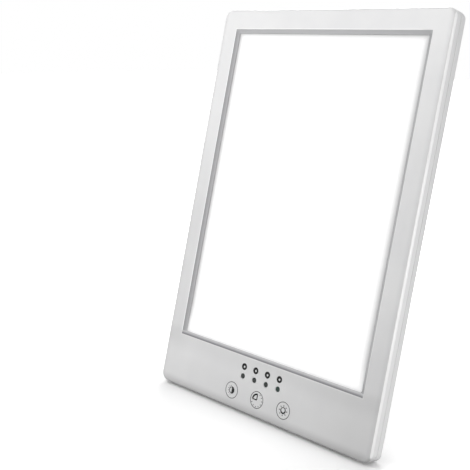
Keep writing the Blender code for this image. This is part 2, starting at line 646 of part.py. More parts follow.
def make_driver(frame):
    board = piece("driver_board", Solid().block((DRIVER_LEFT, BOARD_FRONT, BOARD_BOTTOM),
                                                (DRIVER_RIGHT, BOARD_BACK, BOARD_TOP)), GREEN_BOARD, frame)
    drill_board(board)

    coil_x = (DRIVER_LEFT + DRIVER_RIGHT) / 2
    coil_z = BOARD_BOTTOM + COIL_RADIUS + GAP
    coil = Solid().rod("y", coil_x, coil_z, COIL_RADIUS, BOARD_PARTS_FRONT, BOARD_PARTS_FRONT + COIL_HEIGHT)
    piece("driver_coil", coil, COPPER_ENAMEL, frame)

    capacitor_y = BOARD_PARTS_FRONT + CAPACITOR_RADIUS
    capacitor_z = BOARD_TOP - CAPACITOR_RADIUS - GAP
    capacitor_end = DRIVER_RIGHT - CAPACITOR_INSET
    capacitor = Solid().rod("x", capacitor_y, capacitor_z, CAPACITOR_RADIUS,
                            capacitor_end - CAPACITOR_LENGTH, capacitor_end)
    piece("driver_capacitor", capacitor, BLACK_PLASTIC, frame)

    socket_left = DRIVER_LEFT + BOARD_SCREW_INSET
    socket_bottom = BOARD_TOP - SOCKET_LENGTH
    socket = Solid().block((socket_left, BOARD_PARTS_FRONT, socket_bottom),
                           (socket_left + SOCKET_WIDTH, BOARD_PARTS_FRONT + SOCKET_HEIGHT, BOARD_TOP))
    piece("lead_socket", socket, WHITE_ABS, frame)

    ribbon_bottom = BOARD_BOTTOM + RIBBON_WIDTH / 2
    ribbon = Solid().block((CONTROL_EDGE - RIBBON_LAP, BOARD_PARTS_FRONT, ribbon_bottom),
                           (DRIVER_LEFT + RIBBON_LAP, BOARD_PARTS_FRONT + RIBBON_THICKNESS,
                            ribbon_bottom + RIBBON_WIDTH))
    piece("board_ribbon", ribbon, WHITE_FILM, frame)


def way(start, end, shares):
    """A run from start to end through places given as shares of the way in x, y and z."""
    stops = []
    for step in shares:
        stops.append(tuple(share_of(low, high, share) for low, high, share in zip(start, end, step)))
    return [start] + stops + [end]


def make_leads(frame):
    wall_middle = (REAR_WALL_INSIDE + PANEL_DEPTH) / 2
    socket_end = (DRIVER_LEFT + BOARD_SCREW_INSET - GAP, BOARD_PARTS_FRONT + SOCKET_HEIGHT / 2,
                  BOARD_TOP - SOCKET_LENGTH / 2)
    points = [(0, JACK_MIDDLE, JACK_TOP + JACK_LEAD_RADIUS),
              (0, share_of(JACK_MIDDLE, wall_middle, HOLE_APPROACH_SHARE), WIRE_HOLE_HEIGHT)]
    points += way((0, wall_middle, WIRE_HOLE_HEIGHT), socket_end, JACK_LEAD_SHARES)
    lead("jack_lead", points, JACK_LEAD_RADIUS, BLACK_PLASTIC, frame)

    lead_y = BOARD_PARTS_FRONT + PANEL_LEAD_RADIUS
    strip_x = (STRIP_BOARD_INNER + STRIP_BOARD_OUTER) / 2
    strip_y = (GUIDE_FRONT + GUIDE_BACK) / 2
    strip_end = PLATE_BOTTOM - GAP
    start = (DRIVER_RIGHT - PANEL_LEAD_RADIUS - GAP, lead_y,
             share_of(BOARD_BOTTOM, BOARD_TOP, RIGHT_LEAD_START_SHARE))
    points = way(start, (strip_x, strip_y, strip_end), RIGHT_LEAD_SHARES)
    lead("panel_lead_right", points, PANEL_LEAD_RADIUS, RED_WIRE, frame)

    start_x = DRIVER_LEFT + RIBBON_LAP + PANEL_LEAD_RADIUS + GAP
    points = [(start_x, lead_y, share_of(BOARD_BOTTOM, BOARD_TOP, LEFT_LEAD_START_SHARE)),
              (start_x, lead_y, BOARD_BOTTOM)]
    for share in LEFT_FLOOR_SHARES:
        points.append((share_of(CONTROL_EDGE, -strip_x, share), lead_y, LEAD_FLOOR))
    for back_share, up_share in LEFT_RISE_SHARES:
        points.append((-strip_x, share_of(lead_y, strip_y, back_share),
                       share_of(LEAD_FLOOR, strip_end, up_share)))
    points.append((-strip_x, strip_y, strip_end))
    lead("panel_lead_left", points, PANEL_LEAD_RADIUS, RED_WIRE, frame)


def hood_screw_places():
    return [(side * HOOD_SCREW_PITCH / 2, HOOD_SCREW_HEIGHT) for side in (-1, 1)]


def make_socket_hood(frame):
    tilt = math.atan2(HOOD_BOTTOM_RISE, HOOD_BACK - BACK_SEAT)
    corner_y = HOOD_BACK - HOOD_CORNER_RADIUS
    corner_z = HOOD_BOTTOM + (corner_y - BACK_SEAT) * math.tan(tilt) + HOOD_CORNER_RADIUS / math.cos(tilt)
    shoulder = HOOD_SHOULDER_RADIUS
    outline = [(BACK_SEAT, HOOD_TOP), (BACK_SEAT, HOOD_BOTTOM)]
    outline += arc(corner_y, corner_z, HOOD_CORNER_RADIUS, math.degrees(tilt) - 90, 0, EDGE_STEPS)
    outline += arc(HOOD_BACK - shoulder, HOOD_TOP - shoulder, shoulder, 0, 90, 2 * EDGE_STEPS)
    hood = Solid().prism(outline, "x", -HOOD_WIDTH / 2, HOOD_WIDTH / 2)
    weight = hood.mesh.edges.layers.float.new("bevel_weight_edge")
    for edge in hood.mesh.edges:
        ends = [vertex.co for vertex in edge.verts]
        on_side = ends[0].x == ends[1].x
        on_seat = max(end.y for end in ends) < BACK_SEAT + GAP
        edge[weight] = 1.0 if on_side and not on_seat else 0.0
    item = piece("jack_hood", hood, PALE_ABS, frame)
    bevel = item.modifiers.new("rounded_sides", "BEVEL")
    bevel.width = HOOD_EDGE_RADIUS
    bevel.segments = EDGE_STEPS
    bevel.limit_method = "WEIGHT"

    hollow = Solid().block((-HOOD_POCKET_WIDTH / 2, BACK_SEAT - OVERRUN, POCKET_BOTTOM),
                           (HOOD_POCKET_WIDTH / 2, POCKET_BACK, POCKET_TOP))
    for x, z in hood_screw_places():
        hollow.rod("y", x, z, SCREW_RADIUS + GAP, BACK_SEAT - OVERRUN, BACK_SEAT + SCREW_BITE + GAP,
                   SMALL_STEPS)
        seat = REAR_WALL_INSIDE - GAP
        number = 1 if x < 0 else 2
        screw(f"hood_screw_{number}", x, z, seat, BACK_SEAT + SCREW_BITE, frame)
    shape_with(item, hollow, "DIFFERENCE")
    mouth = Solid().rod("z", 0, JACK_MIDDLE, JACK_NOSE_RADIUS + GAP, HOOD_BOTTOM - OVERRUN,
                        POCKET_BOTTOM + OVERRUN)
    shape_with(item, mouth, "DIFFERENCE")

    jack = Solid().block((-JACK_WIDTH / 2, JACK_FRONT, JACK_BOTTOM), (JACK_WIDTH / 2, JACK_BACK, JACK_TOP))
    jack_item = piece("dc_jack", jack, BLACK_PLASTIC, frame)
    nose = Solid().rod("z", 0, JACK_MIDDLE, JACK_NOSE_RADIUS, JACK_MOUTH, JACK_BOTTOM + OVERRUN)
    shape_with(jack_item, nose, "UNION")
    bore_end = JACK_MOUTH + JACK_BORE_DEPTH
    bore = Solid().rod("z", 0, JACK_MIDDLE, JACK_BORE_RADIUS, JACK_MOUTH - OVERRUN, bore_end)
    shape_with(jack_item, bore, "DIFFERENCE")
    tip = JACK_MOUTH + JACK_PIN_SETBACK
    profile = [(tip, JACK_PIN_RADIUS / 2), (tip + JACK_PIN_RADIUS / 2, JACK_PIN_RADIUS),
               (bore_end - GAP, JACK_PIN_RADIUS)]
    piece("dc_jack_pin", Solid().turned(profile, "z", 0, JACK_MIDDLE, SMALL_STEPS), STEEL, frame)


def hinge_screw_places():
    half = HINGE_SCREW_PITCH / 2
    heights = (PIVOT_HEIGHT - HINGE_SCREW_DROP, PIVOT_HEIGHT + HINGE_SCREW_RISE)
    return [(side * half, z) for z in heights for side in (-1, 1)]


def make_hinge(frame):
    lip_back = PANEL_DEPTH + HINGE_LIP_DEPTH
    ramp_back = lip_back - HINGE_LIP_STEP
    groove_top = LIP_TOPSIDE + HINGE_LIP_GROOVE
    outline = [(BACK_SEAT, LIP_UNDERSIDE), (lip_back, LIP_UNDERSIDE), (lip_back, LIP_TOPSIDE),
               (ramp_back - HINGE_LIP_GROOVE, LIP_TOPSIDE), (ramp_back, groove_top),
               (BACK_SEAT + HINGE_RAMP_TOE, RAMP_TOP), (BACK_SEAT, RAMP_TOP)]
    hood = piece("hinge_hood", Solid().prism(outline, "x", -LIP_HALF, LIP_HALF), NICKEL, frame)
    round_edges(hood, HINGE_EDGE_ROUND, 1)

    block_top = LIP_UNDERSIDE - GAP
    block_bottom = PIVOT_HEIGHT - HINGE_BLOCK_DROP
    block_back = PANEL_DEPTH + HINGE_BLOCK_DEPTH
    block = Solid().block((-BLOCK_HALF, BACK_SEAT, block_bottom), (BLOCK_HALF, block_back, block_top))
    block_item = piece("hinge_block", block, DARK_STEEL, frame)
    round_edges(block_item, HINGE_EDGE_ROUND, 1)

    bores = Solid().rod("x", PIVOT_DEPTH, PIVOT_HEIGHT, PIN_RADIUS + GAP, -LEG_X, LEG_X, SMALL_STEPS)
    sockets = Solid()
    for x, z in hinge_screw_places():
        into = bores if z < PIVOT_HEIGHT else sockets
        into.rod("y", x, z, SCREW_RADIUS + GAP, BACK_SEAT - OVERRUN, BACK_SEAT + SCREW_BITE + GAP,
                 SMALL_STEPS)
    shape_with(block_item, bores, "DIFFERENCE")
    shape_with(hood, sockets, "DIFFERENCE")

    plate_half = LIP_HALF + HINGE_PLATE_MARGIN
    plate = Solid().block((-plate_half, PLATE_INSIDE_FRONT, block_bottom - HINGE_PLATE_MARGIN),
                          (plate_half, PLATE_INSIDE_BACK, RAMP_TOP + HINGE_PLATE_MARGIN))
    plate_item = piece("hinge_backing_plate", plate, STEEL, frame)
    holes = Solid()
    for number, (x, z) in enumerate(hinge_screw_places(), 1):
        holes.rod("y", x, z, SCREW_RADIUS + GAP, PLATE_INSIDE_FRONT - OVERRUN, PLATE_INSIDE_BACK + OVERRUN,
                  SMALL_STEPS)
        screw(f"hinge_screw_{number}", x, z, PLATE_INSIDE_FRONT - GAP, BACK_SEAT + SCREW_BITE, frame)
    shape_with(plate_item, holes, "DIFFERENCE")

    head_start = LEG_X + WIRE_RADIUS + GAP
    head_end = head_start + PIN_HEAD_HEIGHT
    half = [(head_start, PIN_RADIUS), (head_start, PIN_HEAD_RADIUS),
            ((head_start + head_end) / 2, PIN_HEAD_RADIUS), (head_end, PIN_HEAD_RADIUS / 2)]
    profile = [(-x, radius) for x, radius in reversed(half)] + half
    piece("hinge_pin", Solid().turned(profile, "x", PIVOT_DEPTH, PIVOT_HEIGHT), STEEL, frame)


def foot_path(start_height):
    """Down the left leg, round the foot and up the right leg, from a height below the pin."""
    bend = FOOT_BEND_RADIUS
    path = [(-LEG_X, start_height)]
    path += arc(-LEG_X + bend, -FOOT_REACH + bend, bend, 180, 270, CORNER_STEPS)
    path += arc(LEG_X - bend, -FOOT_REACH + bend, bend, 270, 360, CORNER_STEPS)
    path.append((LEG_X, start_height))
    return path


def rings_along(path, radius):
    """Round sections square to a flat path in x and z."""
    rings = []
    for k, (x, z) in enumerate(path):
        before = path[max(k - 1, 0)]
        after = path[min(k + 1, len(path) - 1)]
        run = Vector((after[0] - before[0], 0, after[1] - before[1])).normalized()
        side = Vector((run.z, 0, -run.x))
        ring = []
        for u, v in circle(0, 0, radius, WIRE_STEPS):
            ring.append(Vector((x, 0, z)) + side * u + Vector((0, v, 0)))
        rings.append(ring)
    return rings


def lug_outline():
    """The leg's head: round about the pin, with one square corner that stops on the lip."""
    stop_angle = 90 - math.degrees(OPEN_ANGLE)
    corner = WIRE_RADIUS * (1 - math.sin(OPEN_ANGLE)) / math.cos(OPEN_ANGLE)
    outline = arc(0, 0, WIRE_RADIUS, 180, stop_angle, 2 * EDGE_STEPS)
    outline += [(WIRE_RADIUS, corner), (WIRE_RADIUS, -WIRE_RADIUS), (-WIRE_RADIUS, -WIRE_RADIUS)]
    return outline


def make_stand(swing):
    path = foot_path(-WIRE_RADIUS / 2)
    bail = piece("stand_bail", Solid().loft(rings_along(path, WIRE_RADIUS)), NICKEL, swing)
    lugs = Solid()
    bores = Solid()
    for side in (-1, 1):
        inner = side * LEG_X - LUG_THICKNESS / 2
        lugs.prism(lug_outline(), "x", inner, inner + LUG_THICKNESS)
        bores.rod("x", 0, 0, PIN_RADIUS + GAP, inner - OVERRUN, inner + LUG_THICKNESS + OVERRUN, SMALL_STEPS)
    shape_with(bail, lugs, "UNION")
    shape_with(bail, bores, "DIFFERENCE")

    rung_end = LEG_X - WIRE_RADIUS - GAP
    rung = Solid().rod("x", 0, -RUNG_REACH, RUNG_RADIUS, -rung_end, rung_end, WIRE_STEPS)
    piece("stand_rung", rung, DARK_STEEL, swing)

    bends = foot_path(0)[1:-1]
    outer = rings_along(bends, SLEEVE_RADIUS)
    inner = rings_along(bends, WIRE_RADIUS + GAP)
    piece("foot_sleeve", Solid().loft(outer + inner[::-1], closed=True), BLACK_RUBBER, swing)


def main():
    clear_scene()
    frame = bpy.data.objects.new("panel_frame", None)
    bpy.context.scene.collection.objects.link(frame)
    frame.location = (0, PANEL_SETBACK, PANEL_RISE)
    frame.rotation_euler = (-LEAN_ANGLE, 0, 0)

    swing = bpy.data.objects.new("stand_axis", None)
    bpy.context.scene.collection.objects.link(swing)
    swing.parent = frame
    swing.location = (0, PIVOT_DEPTH, PIVOT_HEIGHT)
    swing.rotation_euler = (OPEN_ANGLE, 0, 0)

    make_front_bezel(frame)
    make_rear_housing(frame)
    make_light_stack(frame)
    make_led_strips(frame)
    make_controls(frame)
    make_driver(frame)
    make_leads(frame)
    make_socket_hood(frame)
    make_hinge(frame)
    make_stand(swing)


main()
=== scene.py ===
"""Light therapy lamp: camera, studio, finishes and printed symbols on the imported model.

Places on the panel are given in the panel's own frame: x to the right, y from the front face to
the back, z up along the panel from its bottom edge. PANEL turns them into the model's frame.
"""
import json
import math

import bmesh
import bpy
from mathutils import Matrix, Vector


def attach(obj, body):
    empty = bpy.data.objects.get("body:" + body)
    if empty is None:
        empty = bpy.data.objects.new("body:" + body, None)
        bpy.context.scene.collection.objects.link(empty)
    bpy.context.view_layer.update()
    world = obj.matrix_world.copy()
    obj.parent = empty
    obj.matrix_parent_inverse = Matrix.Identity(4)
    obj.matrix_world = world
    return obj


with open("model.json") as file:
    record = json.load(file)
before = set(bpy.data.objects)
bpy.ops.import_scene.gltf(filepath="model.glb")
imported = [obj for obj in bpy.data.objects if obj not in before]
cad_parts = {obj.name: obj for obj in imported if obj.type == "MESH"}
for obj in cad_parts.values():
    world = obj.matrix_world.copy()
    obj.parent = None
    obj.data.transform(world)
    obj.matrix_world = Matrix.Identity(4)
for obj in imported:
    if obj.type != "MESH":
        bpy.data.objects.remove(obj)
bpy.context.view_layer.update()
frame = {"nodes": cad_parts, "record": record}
nodes = frame["nodes"]

MM = 0.001
LEAN = math.radians(13.5)
PANEL_PLACE = Vector((0, -55.3680 * MM, 3.2547 * MM))
PANEL = Matrix.Translation(PANEL_PLACE) @ Matrix.Rotation(-LEAN, 4, "X")

PANEL_HALF_WIDTH = 120.0 * MM
EDGE_RADIUS = 2.0 * MM
WINDOW_HALF_WIDTH = 103.0 * MM
WINDOW_LOW = 46.7 * MM
WINDOW_HIGH = 327.7 * MM
WINDOW_MIDDLE = (WINDOW_LOW + WINDOW_HIGH) / 2
LIP_WIDTH = 3.2 * MM

KEY_HEIGHT = 14.6 * MM
KEY_PITCH = 29.8 * MM
MARK_HEIGHT = 37.9 * MM
MARK_PITCH = 13.4 * MM
MARK_COUNT = 4

PIVOT_DEPTH = 19.9 * MM
PIVOT_HEIGHT = 184.8 * MM
PIN_RADIUS = 1.8 * MM
HINGE_LIP_TOP = 189.0 * MM
HINGE_GROOVE_TOP = 189.6 * MM


# Camera

CAMERA_PLACE = Vector((0.4766, -0.5588, 0.3138))
CAMERA_YAW = math.radians(44.90)
CAMERA_PITCH = math.radians(-12.54)
CAMERA_ROLL = math.radians(0.83)
FOCAL_PIXELS = 885
PICTURE_PIXELS = 470
SENSOR_WIDTH = 36.0
NEAREST = 0.01
FARTHEST = 20.0


def make_camera():
    forward = Vector((-math.sin(CAMERA_YAW) * math.cos(CAMERA_PITCH),
                      math.cos(CAMERA_YAW) * math.cos(CAMERA_PITCH),
                      math.sin(CAMERA_PITCH)))
    level_right = Vector((math.cos(CAMERA_YAW), math.sin(CAMERA_YAW), 0))
    level_up = level_right.cross(forward)
    right = math.cos(CAMERA_ROLL) * level_right + math.sin(CAMERA_ROLL) * level_up
    up = -math.sin(CAMERA_ROLL) * level_right + math.cos(CAMERA_ROLL) * level_up

    data = bpy.data.cameras.new("camera")
    data.sensor_width = SENSOR_WIDTH
    data.lens = SENSOR_WIDTH * FOCAL_PIXELS / PICTURE_PIXELS
    data.clip_start = NEAREST
    data.clip_end = FARTHEST
    camera = bpy.data.objects.new("camera", data)
    bpy.context.scene.collection.objects.link(camera)
    turn = Matrix((right, up, -forward)).transposed().to_4x4()
    camera.matrix_world = Matrix.Translation(CAMERA_PLACE) @ turn
    bpy.context.scene.camera = camera


# Shader building

NOISE_RANGE = (0.3, 0.7)    # where most of a noise's values lie


class Signal:
    """A socket that can be used in sums: an expression adds its own Math nodes."""

    def __init__(self, finish, socket):
        self.finish = finish
        self.socket = socket

    def out(self, name):
        """Another output of the same node."""
        return Signal(self.finish, self.socket.node.outputs[name])

    def math(self, operation, *values):
        return self.finish.node("ShaderNodeMath", {"operation": operation}, *values)

    def __add__(self, other):
        return self.math("ADD", self, other)

    def __sub__(self, other):
        return self.math("SUBTRACT", self, other)

    def __rsub__(self, other):
        return self.math("SUBTRACT", other, self)

    def __mul__(self, other):
        return self.math("MULTIPLY", self, other)

    def __abs__(self):
        return self.math("ABSOLUTE", self)

    __radd__ = __add__
    __rmul__ = __mul__

    def larger(self, other):
        return self.math("MAXIMUM", self, other)

    def step(self, low, high):
        """0 below the low value, 1 above the high value, smooth between them."""
        ramp = {"interpolation_type": "SMOOTHSTEP"}
        return self.finish.node("ShaderNodeMapRange", ramp, self, low, high)

    def fall(self, low, high):
        """1 below the low value, 0 above the high value, smooth between them."""
        return 1 - self.step(low, high)

    def band(self, start, full, fade, end):
        """1 from full to fade, 0 before start and past end, smooth between them."""
        return self.step(start, full) * self.fall(fade, end)


class Finish:
    """One shader, of a material or of the world, and the nodes that feed it."""

    def __init__(self, owner, shader="Principled BSDF"):
        owner.use_nodes = True
        self.owner = owner
        self.tree = owner.node_tree
        self.shader = self.tree.nodes[shader]

    def set(self, socket, value):
        """Put a value or a signal on one of the shader's sockets."""
        self.feed(self.shader.inputs[socket], value)

    def feed(self, target, value):
        if isinstance(value, Signal):
            self.tree.links.new(value.socket, target)
        elif target.type == "RGBA":
            target.default_value = (*value, 1.0)
        else:
            target.default_value = value

    def node(self, kind, settings=None, *values, **named):
        """Add a node: its settings first, then its inputs in order, then inputs by name."""
        node = self.tree.nodes.new(kind)
        for key, value in (settings or {}).items():
            setattr(node, key, value)
        open_inputs = [socket for socket in node.inputs if socket.enabled]
        for target, value in zip(open_inputs, values):
            if value is not None:
                self.feed(target, value)
        for key, value in named.items():
            self.feed(node.inputs[key], value)
        return Signal(self, next(socket for socket in node.outputs if socket.enabled))

    def place(self):
        """The point in the model's frame at rest."""
        return self.node("ShaderNodeTexCoord").out("Object")

    def panel_place(self):
        """The point in the panel's own frame."""
        return self.node("ShaderNodeMapping", {"vector_type": "TEXTURE"}, self.place(),
                         PANEL_PLACE, (-LEAN, 0, 0))

    def facing(self):
        """The surface's own direction, as x, y and z."""
        return self.parts(self.node("ShaderNodeTexCoord").out("Normal"))

    def parts(self, vector):
        split = self.node("ShaderNodeSeparateXYZ", None, vector)
        return [split.out(axis) for axis in "XYZ"]

    def length(self, vector):
        return self.node("ShaderNodeVectorMath", {"operation": "LENGTH"}, vector)

    def noise(self, vector, size, detail=2.0):
        """Noise with blobs of about the given size in metres."""
        return self.node("ShaderNodeTexNoise", None, vector, Scale=1 / size, Detail=detail)

    def upright(self, vector, scale):
        """A place in which a noise turns to upright streaks: the smaller the scale, the longer."""
        return self.node("ShaderNodeMapping", None, vector, None, None, (1, 1, scale))

    def mix(self, factor, low, high):
        """Blend two colours."""
        return self.node("ShaderNodeMix", {"data_type": "RGBA"}, factor, low, high)

    def uneven(self, size, spread, grain, depth, vector=None):
        """Slight unevenness of tone and gloss, with a fine grain in the surface."""
        vector = vector or self.place()
        cloud = self.noise(vector, size, 3.0)
        dark = tuple(value * (1 - spread) for value in self.colour)
        light = tuple(min(1.0, value * (1 + spread)) for value in self.colour)
        self.set("Base Color", self.mix(cloud.step(*NOISE_RANGE), dark, light))
        self.set("Roughness", self.roughness + 0.12 * (cloud - 0.5))
        self.bump(self.noise(vector, grain), depth)
        return self

    def bump(self, height, depth):
        normal = self.node("ShaderNodeBump", None, Strength=1.0, Distance=depth, Height=height)
        self.set("Normal", normal)


def coat(name, colour, roughness, metallic=0.0, **constants):
    """A new finish with a Principled shader and its plain values."""
    finish = Finish(bpy.data.materials.new(name))
    finish.colour = colour
    finish.roughness = roughness
    finish.set("Base Color", colour)
    finish.set("Roughness", roughness)
    finish.set("Metallic", metallic)
    for socket, value in constants.items():
        finish.set(socket.replace("_", " ").title().replace("Ior", "IOR"), value)
    return finish


def grey(level):
    return (level, level, level)


# Finishes of the panel

# Painted shade: the grey that darkened places of the white casing are blended toward
PAINTED_SHADE_GREY = grey(0.40)


def window_edge(x, z, inset):
    """How far a point lies outside the window pulled in by the inset: sideways, and up or down."""
    across = abs(x) - (WINDOW_HALF_WIDTH - inset)
    along = abs(z - WINDOW_MIDDLE) - (WINDOW_HIGH - WINDOW_MIDDLE - inset)
    return across, along


def front_tone(finish, x, z, cloud):
    """The bezel's face: faint clouds, with painted shade at its foot, its chin, its right corner,
    its low left edge and just under the window.
    """
    # Painted shade: masks of the places where the face is darkened
    foot = z.fall(0.5 * MM, 9 * MM)
    chin = z.fall(10 * MM, 85 * MM)
    right_corner = x.step(50 * MM, 100 * MM) * z.fall(50 * MM, 150 * MM)
    left_edge = x.fall(-110 * MM, -90 * MM) * z.band(10 * MM, 60 * MM, 100 * MM, 280 * MM)
    under_window = z.band(28 * MM, 44 * MM, 47 * MM, 55 * MM)
    painted_shade = 0.50 * foot + 0.16 * chin + 0.13 * right_corner + 0.2 * left_edge + 0.16 * under_window
    tone = finish.mix(cloud.step(*NOISE_RANGE), (0.775, 0.775, 0.78), grey(0.82))
    return finish.mix(painted_shade, tone, PAINTED_SHADE_GREY)


def side_tone(finish, place, z, painted_foot_light):
    """The casing's sides: fine streaks along them, and painted light that makes them lighter toward
    the foot.
    """
    streaks = finish.noise(finish.upright(place, 0.01), 2.2 * MM).step(*NOISE_RANGE)
    tone = finish.mix(streaks, (0.73, 0.73, 0.735), grey(0.77))
    return finish.mix(z.fall(0, 200 * MM), tone, grey(painted_foot_light))


def lip_tone(finish, x, z, across, low_lip):
    """The sloping grey lip round the window, with painted light and shade: each of its four sides
    has a grey of its own, lighter deep toward the diffuser and darkest on the low side next to the
    bezel.
    """
    deep = across.fall(-LIP_WIDTH, -0.5 * MM)
    right_lip = x.step(WINDOW_HALF_WIDTH - LIP_WIDTH - 1.0 * MM, WINDOW_HALF_WIDTH - LIP_WIDTH)
    high_lip = z.step(WINDOW_HIGH - LIP_WIDTH - 0.4 * MM, WINDOW_HIGH - 1.0 * MM)
    low_deep = z.step(WINDOW_LOW + 0.5 * MM, WINDOW_LOW + 2.7 * MM)
    tone = finish.mix(deep, (0.37, 0.37, 0.38), (0.52, 0.52, 0.53))
    tone = finish.mix(right_lip, tone, (0.34, 0.34, 0.35))
    tone = finish.mix(high_lip, tone, (0.45, 0.45, 0.46))
    low_tone = finish.mix(low_deep, (0.20, 0.20, 0.21), (0.55, 0.55, 0.56))
    return finish.mix(low_lip, tone, low_tone)


def casing_finish():
    """White moulded plastic of the bezel: its face, its edges, its sides and the window's lip, with
    painted light and shade on them.
    """
    finish = coat("casing_white", grey(0.80), 0.30)
    place = finish.panel_place()
    x, y, z = finish.parts(place)
    cloud = finish.noise(place, 50 * MM, 3.0)

    # The window: a painted highlight as a light line just outside it, fainter on its right and below
    # it
    across, along = window_edge(x, z, 0)
    rim = across.larger(along)
    low_lip = z.fall(WINDOW_LOW + 2.8 * MM, WINDOW_LOW + LIP_WIDTH + 0.4 * MM)
    rim_highlight = rim.band(-0.1 * MM, 0.1 * MM, 0.6 * MM, 0.9 * MM)
    rim_highlight = rim_highlight * (1 - 0.85 * x.step(90 * MM, 100 * MM).larger(low_lip))

    # The rounded front edges: a painted highlight as a light ridge on the right, painted shade as a
    # grey one on the left, painted shade just inside both edges and at the foot of the edges and
    # sides
    edge = abs(x) - (PANEL_HALF_WIDTH - EDGE_RADIUS)
    right_half = x.step(-1 * MM, 1 * MM)
    rounding = y.fall(2.0 * MM, 2.9 * MM)
    right_ridge_highlight = right_half * (edge.step(0.8 * MM, 1.2 * MM) * rounding * z.step(2 * MM, 7 * MM))
    left_ridge_shade = (1 - right_half) * edge.step(1.3 * MM, 1.6 * MM) * rounding
    beside_edge_shade = 0.18 * edge.band(-4.0 * MM, 0.2 * MM, 0.4 * MM, 1.0 * MM)
    side_foot_shade = 0.75 * z.fall(0, 8 * MM) * y.step(0.3 * MM, 1.2 * MM)

    tone = front_tone(finish, x, z, cloud)
    tone = finish.mix(beside_edge_shade, tone, grey(0.45))
    tone = finish.mix(y.step(1.8 * MM, 2.8 * MM), tone, side_tone(finish, place, z, 0.82))
    tone = finish.mix(right_ridge_highlight.larger(rim_highlight), tone, grey(0.99))
    tone = finish.mix(left_ridge_shade, tone, grey(0.52))
    tone = finish.mix(side_foot_shade, tone, PAINTED_SHADE_GREY)
    inside = rim.fall(-0.15 * MM, 0.1 * MM)
    finish.set("Base Color", finish.mix(inside, tone, lip_tone(finish, x, z, across, low_lip)))
    finish.set("Roughness", finish.roughness + 0.10 * (cloud - 0.5))
    finish.bump(finish.noise(place, 0.6 * MM), 0.02 * MM)
    return finish.owner


def rear_finish():
    """Rear shell: white on its sides, satin grey on its flat back, with painted light and shade: a
    light rear edge, sides lighter toward the foot and dark at it, and a back darker toward +x.
    """
    finish = coat("casing_rear", grey(0.73), 0.48, specular_ior_level=0.15)
    place = finish.panel_place()
    x, y, z = finish.parts(place)
    cloud = finish.noise(place, 60 * MM, 3.0)
    sides = side_tone(finish, place, z, 0.83)
    # Painted shade: the sides darken at their foot
    sides = finish.mix(0.6 * z.fall(0, 7 * MM), sides, PAINTED_SHADE_GREY)
    # Painted highlight: the rear edge is near white
    sides = finish.mix(y.step(13.9 * MM, 14.1 * MM), sides, grey(0.97))
    back = finish.mix(cloud.step(*NOISE_RANGE), (0.225, 0.225, 0.23), (0.25, 0.25, 0.255))
    # Painted shade: the back grows darker toward +x
    back = finish.mix(x.step(-PANEL_HALF_WIDTH, PANEL_HALF_WIDTH), back, (0.165, 0.165, 0.17))
    flat_back = y.step(14.55 * MM, 14.8 * MM)
    finish.set("Base Color", finish.mix(flat_back, sides, back))
    finish.set("Roughness", finish.roughness + 0.10 * (cloud - 0.5))
    finish.bump(finish.noise(place, 0.7 * MM), 0.03 * MM)
    return finish.owner


def diffuser_finish():
    """Opal sheet that glows evenly and falls off close to the frame, with painted shade darkening
    its colour there.
    """
    finish = coat("opal_diffuser", grey(0.8), 0.5, emission_strength=1.5)
    place = finish.panel_place()
    x, _, z = finish.parts(place)
    across, along = window_edge(x, z, LIP_WIDTH)
    low_side = z.fall(WINDOW_LOW + 4 * MM, WINDOW_LOW + 30 * MM)
    edge = across.larger(along) - 2.5 * MM * low_side
    glow = 0.02 + 0.20 * edge.fall(-5 * MM, 0.5 * MM) + 0.78 * edge.fall(-24 * MM, -3 * MM)
    shade = edge.step(-2.5 * MM, 0.5 * MM).larger(0.8 * across.step(-8 * MM, -1 * MM))
    # Painted shade: the sheet's colour is darker close to the frame
    finish.set("Base Color", finish.mix(shade, grey(0.80), grey(0.60)))
    finish.set("Emission Color", finish.mix(glow, grey(0), grey(1)))
    finish.bump(finish.noise(place, 0.4 * MM), 0.01 * MM)
    return finish.owner


# Finishes that need no places of their own, by the record's slot: colour, roughness, metallic,
# then the size of the cloudy patches and their spread of tone, the size of the grain and its depth

PLAIN_FINISHES = {
    "hood_white": ((0.86, 0.86, 0.87), 0.38, 0.0, 20 * MM, 0.02, 0.6 * MM, 0.03 * MM),
    "clear_acrylic": ((0.90, 0.93, 0.95), 0.1, 0.0, 50 * MM, 0.02, 4 * MM, 0.01 * MM),
    "white_film": (grey(0.88), 0.6, 0.0, 30 * MM, 0.03, 1 * MM, 0.02 * MM),
    "zinc_steel": (grey(0.60), 0.3, 1.0, 4 * MM, 0.06, 0.4 * MM, 0.02 * MM),
    "green_board": ((0.03, 0.22, 0.09), 0.4, 0.0, 4 * MM, 0.15, 0.8 * MM, 0.02 * MM),
    "white_board": ((0.88, 0.88, 0.84), 0.5, 0.0, 4 * MM, 0.04, 0.8 * MM, 0.02 * MM),
    "led_package": ((0.90, 0.85, 0.55), 0.4, 0.0, 1 * MM, 0.08, 0.4 * MM, 0.02 * MM),
    "copper_pad": ((0.60, 0.25, 0.08), 0.4, 0.8, 2 * MM, 0.1, 0.4 * MM, 0.02 * MM),
    "black_plastic": (grey(0.02), 0.4, 0.0, 4 * MM, 0.2, 0.5 * MM, 0.03 * MM),
    "lead_insulation": ((0.50, 0.03, 0.03), 0.5, 0.0, 4 * MM, 0.1, 0.5 * MM, 0.02 * MM),
    "black_rubber": (grey(0.018), 0.7, 0.0, 3 * MM, 0.25, 0.6 * MM, 0.05 * MM),
}


